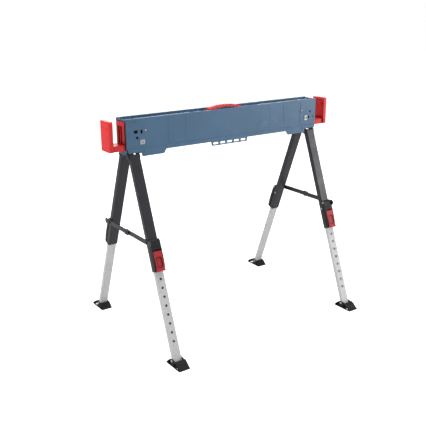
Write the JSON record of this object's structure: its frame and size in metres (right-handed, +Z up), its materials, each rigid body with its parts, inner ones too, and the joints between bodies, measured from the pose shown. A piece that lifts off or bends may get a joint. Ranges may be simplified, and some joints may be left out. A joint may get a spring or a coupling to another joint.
{
  "type": "folding trestle",
  "caption": "Folding builders trestle: slotted steel beam, pull-out U cradles at the ends, telescopic splayed legs with levers, struts and swivel feet.",
  "frame": {"origin": "centre of the object's box, on the ground", "axes": "+X along the beam, -Y to the front, +Z up"},
  "size_m": [1.03, 0.7004, 0.862],
  "materials": {
    "blue_paint": "satin powder coat",
    "red_plastic": "semi-gloss moulded",
    "dark_paint": "satin powder coat",
    "dark_plastic": "fine grain",
    "zinc_steel": "zinc plated",
    "tube_steel": "satin galvanised",
    "foot_paint": "satin black"
  },
  "bodies": {
    "beam": {"beam_side_front": "blue_paint", "beam_side_back": "blue_paint", "beam_deck": "blue_paint", "end_frame_left": "blue_paint", "end_frame_right": "blue_paint", "bulkhead_left": "blue_paint", "bulkhead_right": "blue_paint", "handle_tray": "blue_paint", "guide_left": "dark_plastic", "guide_right": "dark_plastic", "beam_rivets": "zinc_steel", "guide_screws": "zinc_steel", "handle_pins": "zinc_steel", "fold_pin_left": "blue_paint", "fold_pin_right": "blue_paint"},
    "handle": {"handle": "red_plastic"},
    "cradle_left": {"cradle_left": "red_plastic", "tongue_left": "zinc_steel"},
    "carrier_left": {"carrier_left": "dark_paint", "leg_bolts_left": "dark_paint"},
    "cradle_right": {"cradle_right": "red_plastic", "tongue_right": "zinc_steel"},
    "carrier_right": {"carrier_right": "dark_paint", "leg_bolts_right": "dark_paint"},
    "leg_lf": {"outer_tube_lf": "dark_paint", "housing_lf": "dark_plastic"},
    "lever_lf": {"lever_lf": "red_plastic", "lock_pin_lf": "zinc_steel"},
    "inner_lf": {"inner_tube_lf": "tube_steel", "foot_bolt_lf": "zinc_steel"},
    "foot_lf": {"foot_lf": "foot_paint"},
    "link_lf": {"link_lf": "dark_paint"},
    "leg_lb": {"outer_tube_lb": "dark_paint", "housing_lb": "dark_plastic"},
    "lever_lb": {"lever_lb": "red_plastic", "lock_pin_lb": "zinc_steel"},
    "inner_lb": {"inner_tube_lb": "tube_steel", "foot_bolt_lb": "zinc_steel"},
    "foot_lb": {"foot_lb": "foot_paint"},
    "link_lb": {"link_lb": "dark_paint", "knuckle_left": "dark_paint"},
    "leg_rf": {"outer_tube_rf": "dark_paint", "housing_rf": "dark_plastic"},
    "lever_rf": {"lever_rf": "red_plastic", "lock_pin_rf": "zinc_steel"},
    "inner_rf": {"inner_tube_rf": "tube_steel", "foot_bolt_rf": "zinc_steel"},
    "foot_rf": {"foot_rf": "foot_paint"},
    "link_rf": {"link_rf": "dark_paint"},
    "leg_rb": {"outer_tube_rb": "dark_paint", "housing_rb": "dark_plastic"},
    "lever_rb": {"lever_rb": "red_plastic", "lock_pin_rb": "zinc_steel"},
    "inner_rb": {"inner_tube_rb": "tube_steel", "foot_bolt_rb": "zinc_steel"},
    "foot_rb": {"foot_rb": "foot_paint"},
    "link_rb": {"link_rb": "dark_paint", "knuckle_right": "dark_paint"}
  },
  "joints": [
    {"name": "handle_drop", "type": "slide", "parent": "beam", "child": "handle", "axis": [0, 0, -1], "range_m": [0, 0.012]},
    {"name": "cradle_slide_left", "type": "slide", "parent": "beam", "child": "cradle_left", "axis": [1, 0, 0], "range_m": [0, 0.049]},
    {"name": "fold_left", "type": "hinge", "parent": "beam", "child": "carrier_left", "pos_m": [-0.378, 0, 0.73102], "axis": [0, -1, 0], "range_deg": [0, 88]},
    {"name": "cradle_slide_right", "type": "slide", "parent": "beam", "child": "cradle_right", "axis": [-1, 0, 0], "range_m": [0, 0.049]},
    {"name": "fold_right", "type": "hinge", "parent": "beam", "child": "carrier_right", "pos_m": [0.378, 0, 0.73102], "axis": [0, 1, 0], "range_deg": [0, 72]},
    {"name": "spread_lf", "type": "hinge", "parent": "carrier_left", "child": "leg_lf", "pos_m": [-0.42, -0.0318, 0.71602], "axis": [1, 0, 0], "range_deg": [0, 19]},
    {"name": "lever_turn_lf", "type": "hinge", "parent": "leg_lf", "child": "lever_lf", "pos_m": [-0.42, -0.1728, 0.39272], "axis": [-1, 0, 0], "range_deg": [0, 25], "stiffness_Nm_per_rad": 0.5, "springref_deg": -17.19},
    {"name": "height_slide_lf", "type": "slide", "parent": "leg_lf", "child": "inner_lf", "axis": [0, 0.3551, 0.9348], "range_m": [0, 0.26]},
    {"name": "foot_tilt_lf", "type": "hinge", "parent": "inner_lf", "child": "foot_lf", "pos_m": [-0.42, -0.29619, 0.02], "axis": [1, 0, 0], "range_deg": [-20, 12]},
    {"name": "strut_lf", "type": "hinge", "parent": "leg_lf", "child": "link_lf", "pos_m": [-0.42, -0.14217, 0.42548], "axis": [1, 0, 0], "range_deg": [0, 49.2]},
    {"name": "spread_lb", "type": "hinge", "parent": "carrier_left", "child": "leg_lb", "pos_m": [-0.42, 0.0318, 0.71602], "axis": [-1, 0, 0], "range_deg": [0, 19]},
    {"name": "lever_turn_lb", "type": "hinge", "parent": "leg_lb", "child": "lever_lb", "pos_m": [-0.42, 0.1728, 0.39272], "axis": [1, 0, 0], "range_deg": [0, 25], "stiffness_Nm_per_rad": 0.5, "springref_deg": -17.19},
    {"name": "height_slide_lb", "type": "slide", "parent": "leg_lb", "child": "inner_lb", "axis": [0, -0.3551, 0.9348], "range_m": [0, 0.26]},
    {"name": "foot_tilt_lb", "type": "hinge", "parent": "inner_lb", "child": "foot_lb", "pos_m": [-0.42, 0.29619, 0.02], "axis": [-1, 0, 0], "range_deg": [-20, 12]},
    {"name": "strut_lb", "type": "hinge", "parent": "leg_lb", "child": "link_lb", "pos_m": [-0.42, 0.14217, 0.42548], "axis": [-1, 0, 0], "range_deg": [0, 49.2]},
    {"name": "spread_rf", "type": "hinge", "parent": "carrier_right", "child": "leg_rf", "pos_m": [0.42, -0.0318, 0.71602], "axis": [1, 0, 0], "range_deg": [0, 19]},
    {"name": "lever_turn_rf", "type": "hinge", "parent": "leg_rf", "child": "lever_rf", "pos_m": [0.42, -0.1728, 0.39272], "axis": [-1, 0, 0], "range_deg": [0, 25], "stiffness_Nm_per_rad": 0.5, "springref_deg": -17.19},
    {"name": "height_slide_rf", "type": "slide", "parent": "leg_rf", "child": "inner_rf", "axis": [0, 0.3551, 0.9348], "range_m": [0, 0.26]},
    {"name": "foot_tilt_rf", "type": "hinge", "parent": "inner_rf", "child": "foot_rf", "pos_m": [0.42, -0.29619, 0.02], "axis": [1, 0, 0], "range_deg": [-20, 12]},
    {"name": "strut_rf", "type": "hinge", "parent": "leg_rf", "child": "link_rf", "pos_m": [0.42, -0.14217, 0.42548], "axis": [1, 0, 0], "range_deg": [0, 49.2]},
    {"name": "spread_rb", "type": "hinge", "parent": "carrier_right", "child": "leg_rb", "pos_m": [0.42, 0.0318, 0.71602], "axis": [-1, 0, 0], "range_deg": [0, 19]},
    {"name": "lever_turn_rb", "type": "hinge", "parent": "leg_rb", "child": "lever_rb", "pos_m": [0.42, 0.1728, 0.39272], "axis": [1, 0, 0], "range_deg": [0, 25], "stiffness_Nm_per_rad": 0.5, "springref_deg": -17.19},
    {"name": "height_slide_rb", "type": "slide", "parent": "leg_rb", "child": "inner_rb", "axis": [0, -0.3551, 0.9348], "range_m": [0, 0.26]},
    {"name": "foot_tilt_rb", "type": "hinge", "parent": "inner_rb", "child": "foot_rb", "pos_m": [0.42, 0.29619, 0.02], "axis": [-1, 0, 0], "range_deg": [-20, 12]},
    {"name": "strut_rb", "type": "hinge", "parent": "leg_rb", "child": "link_rb", "pos_m": [0.42, 0.14217, 0.42548], "axis": [-1, 0, 0], "range_deg": [0, 49.2]}
  ],
  "couplings": [
    {"joint": "spread_lb", "follows": "spread_lf", "ratio": 1},
    {"joint": "strut_lf", "follows": "spread_lf", "ratio": 2.58},
    {"joint": "strut_lb", "follows": "spread_lf", "ratio": 2.58},
    {"joint": "spread_rb", "follows": "spread_rf", "ratio": 1},
    {"joint": "strut_rf", "follows": "spread_rf", "ratio": 2.58},
    {"joint": "strut_rb", "follows": "spread_rf", "ratio": 2.58}
  ]
}
